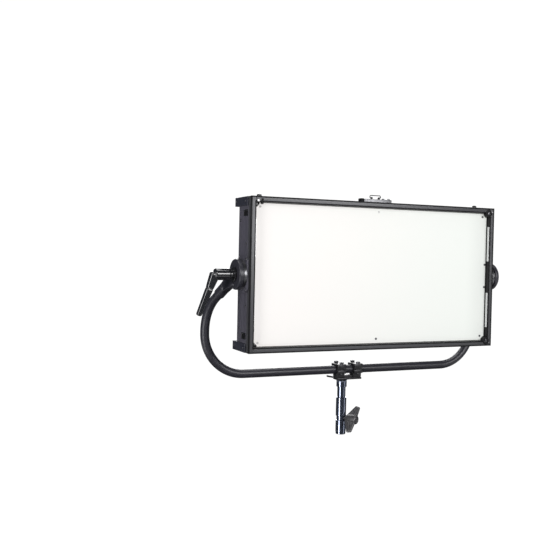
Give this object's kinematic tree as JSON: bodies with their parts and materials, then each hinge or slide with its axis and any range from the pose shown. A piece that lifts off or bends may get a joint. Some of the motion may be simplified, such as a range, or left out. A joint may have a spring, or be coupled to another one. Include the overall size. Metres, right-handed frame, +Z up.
{
  "type": "led panel light",
  "caption": "Wide shallow LED panel light with a white phosphor face in a black housing, tilting in a bent tube yoke with a clamping lever above a chrome stand spigot.",
  "frame": {"origin": "centre of the stand spigot's lower end", "axes": "+Z up along the spigot; the lamp shines towards -Y; +X to the right seen from the front"},
  "size_m": [0.8793, 0.205, 0.64],
  "materials": {
    "housing": "sheet and extruded aluminium, fine black powder coat",
    "rim": "extruded aluminium, dark grey satin paint",
    "tube_paint": "black semi-gloss paint",
    "black_plastic": "black moulded plastic",
    "switch_rubber": "soft black rubber",
    "phosphor": "white diffusing phosphor sheet, lit evenly",
    "white_reflector": "thin aluminium sheet, matt white reflective paint",
    "circuit_board": "white solder mask",
    "aluminium": "bright satin aluminium",
    "black_anodised": "black anodised",
    "steel": "zinc plated",
    "chrome": "polished chrome plate",
    "die_cast": "dark grey die-cast aluminium, slightly rough"
  },
  "bodies": {
    "stand_mount": {"spigot": "chrome", "base_plate": "die_cast", "clamp_base_left": "die_cast", "clamp_base_right": "die_cast", "clamp_cap_left": "die_cast", "clamp_cap_right": "die_cast", "clamp_screw_left_front": "steel", "clamp_screw_left_rear": "steel", "clamp_screw_right_front": "steel", "clamp_screw_right_rear": "steel", "yoke_tube": "tube_paint", "yoke_end_left": "tube_paint", "yoke_end_right": "tube_paint"},
    "lamp": {"pivot_plate_left": "housing", "pivot_plate_right": "housing", "friction_disc_left": "die_cast", "friction_disc_right": "die_cast", "pivot_bolt_left": "steel", "pivot_bolt_right": "steel", "side_plate_left": "housing", "side_plate_right": "housing", "rim_left": "rim", "rim_right": "rim", "profile_top": "housing", "profile_bottom": "housing", "rim_top": "rim", "rim_bottom": "rim", "end_cap_top_left": "housing", "end_cap_top_right": "housing", "end_cap_bottom_left": "housing", "end_cap_bottom_right": "housing", "corner_top_left": "black_plastic", "corner_top_right": "black_plastic", "corner_bottom_left": "black_plastic", "corner_bottom_right": "black_plastic", "strip_top_left": "aluminium", "strip_top_right": "aluminium", "strip_bottom_left": "aluminium", "strip_bottom_right": "aluminium", "phosphor_panel": "phosphor", "mixing_chamber": "white_reflector", "led_board_1": "circuit_board", "led_board_2": "circuit_board", "led_board_3": "circuit_board", "heat_sink": "black_anodised", "driver_case": "housing", "power_inlet": "black_plastic", "data_in": "black_plastic", "data_out": "black_plastic", "latch_block": "black_plastic", "latch_bar": "aluminium", "pivot_nut_right": "steel"},
    "insert_left": {"lever_insert_left": "steel"},
    "lever_left": {"lever_left": "black_plastic"},
    "wing": {"wing_screw": "die_cast"},
    "ring": {"pull_ring": "steel"},
    "dimmer": {"dimmer_knob": "black_plastic"},
    "switch": {"power_switch": "switch_rubber"}
  },
  "joints": [
    {"name": "lamp_tilt", "type": "hinge", "parent": "stand_mount", "child": "lamp", "pos_m": [0, -0.147, 0.4358], "axis": [1, 0, 0], "range_deg": [-90, 90]},
    {"name": "lever_left_turn", "type": "hinge", "parent": "stand_mount", "child": "insert_left", "pos_m": [-0.3742, -0.147, 0.4358], "axis": [-1, 0, 0], "range_deg": [-90, 90]},
    {"name": "lever_left_lift", "type": "slide", "parent": "insert_left", "child": "lever_left", "axis": [-1, 0, 0], "range_m": [0, 0.004], "stiffness_N_per_m": 600, "springref_m": -0.003},
    {"name": "wing_screw_turn", "type": "hinge", "parent": "stand_mount", "child": "wing", "pos_m": [0, 0, 0.044], "axis": [0.5299, -0.848, 0], "range_deg": [-360, 0]},
    {"name": "ring_fold", "type": "hinge", "parent": "lamp", "child": "ring", "pos_m": [0.0035, -0.147, 0.6321], "axis": [1, 0, 0], "range_deg": [-85, 85]},
    {"name": "dimmer_turn", "type": "hinge", "parent": "lamp", "child": "dimmer", "pos_m": [-0.085, -0.0669, 0.4158], "axis": [0, 1, 0], "range_deg": [0, 300]},
    {"name": "power_switch_rock", "type": "hinge", "parent": "lamp", "child": "switch", "pos_m": [-0.04, -0.0679, 0.4158], "axis": [1, 0, 0], "range_deg": [0, 16]}
  ]
}
